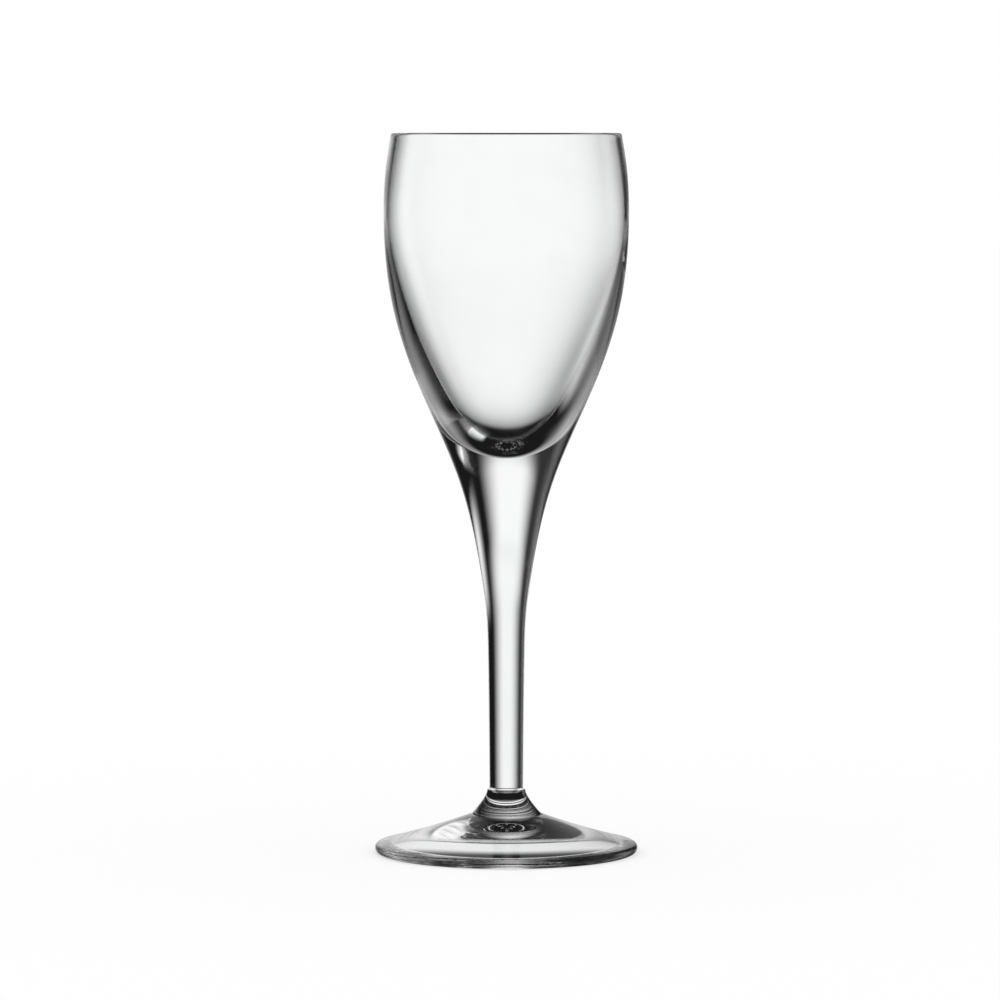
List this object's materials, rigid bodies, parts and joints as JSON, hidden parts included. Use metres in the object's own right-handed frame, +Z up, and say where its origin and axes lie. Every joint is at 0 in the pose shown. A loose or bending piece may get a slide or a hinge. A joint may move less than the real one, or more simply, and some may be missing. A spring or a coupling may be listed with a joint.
{
  "type": "liqueur glass",
  "caption": "Clear stemmed liqueur glass: a tulip bowl with a thick rounded base, a solid stem that narrows downwards, and a thin sloping foot that is hollow underneath and stands on a flat ring.",
  "frame": {"origin": "on the axis of the glass, at the level of the ring that the foot stands on", "axes": "+Z points up along the axis; X and Y are alike, because every piece is turned about Z"},
  "size_m": [0.053, 0.053, 0.145],
  "materials": {
    "bowl_glass": "clear, fire-polished",
    "stem_glass": "clear, drawn and fire-polished",
    "foot_glass": "clear, pressed and fire-polished"
  },
  "bodies": {
    "root": {"bowl": "bowl_glass", "stem": "stem_glass", "foot": "foot_glass"}
  },
  "joints": []
}
